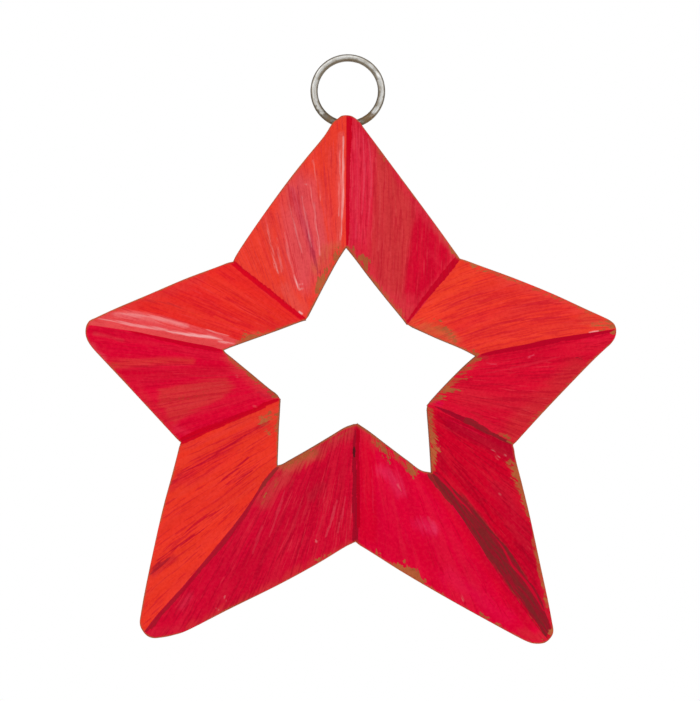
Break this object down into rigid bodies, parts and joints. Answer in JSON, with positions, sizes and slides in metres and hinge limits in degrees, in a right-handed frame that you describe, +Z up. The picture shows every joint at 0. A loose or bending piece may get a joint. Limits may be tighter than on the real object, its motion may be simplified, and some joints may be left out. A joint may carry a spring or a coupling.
{
  "type": "barn star",
  "caption": "Open star of folded, red-painted sheet steel that hangs from a split ring held behind its top point.",
  "frame": {"origin": "spot at the top of the ring's inside where it hangs on its nail, in the ring's middle plane", "axes": "+Z up, -Y out of the painted front, +X to the right seen from the front"},
  "size_m": [0.2032, 0.0324, 0.2255],
  "materials": {
    "red_painted_steel": "brushed red and orange-red paint, worn to brown steel at the edges",
    "browned_steel": "browned bare steel",
    "solder": "dull solder",
    "ring_steel": "weathered grey steel"
  },
  "bodies": {
    "ring": {"split_ring": "ring_steel"},
    "star": {"point_top": "red_painted_steel", "point_right": "red_painted_steel", "point_lower_right": "red_painted_steel", "point_lower_left": "red_painted_steel", "point_left": "red_painted_steel", "seam_upper_right": "solder", "seam_right": "solder", "seam_bottom": "solder", "seam_left": "solder", "seam_upper_left": "solder", "hanger_strap": "browned_steel", "hanger_solder": "solder"}
  },
  "joints": [
    {"name": "ring_hinge", "type": "hinge", "parent": "ring", "child": "star", "pos_m": [0, 0, -0.02448], "axis": [-1, 0, 0], "range_deg": [-172, 36]}
  ]
}
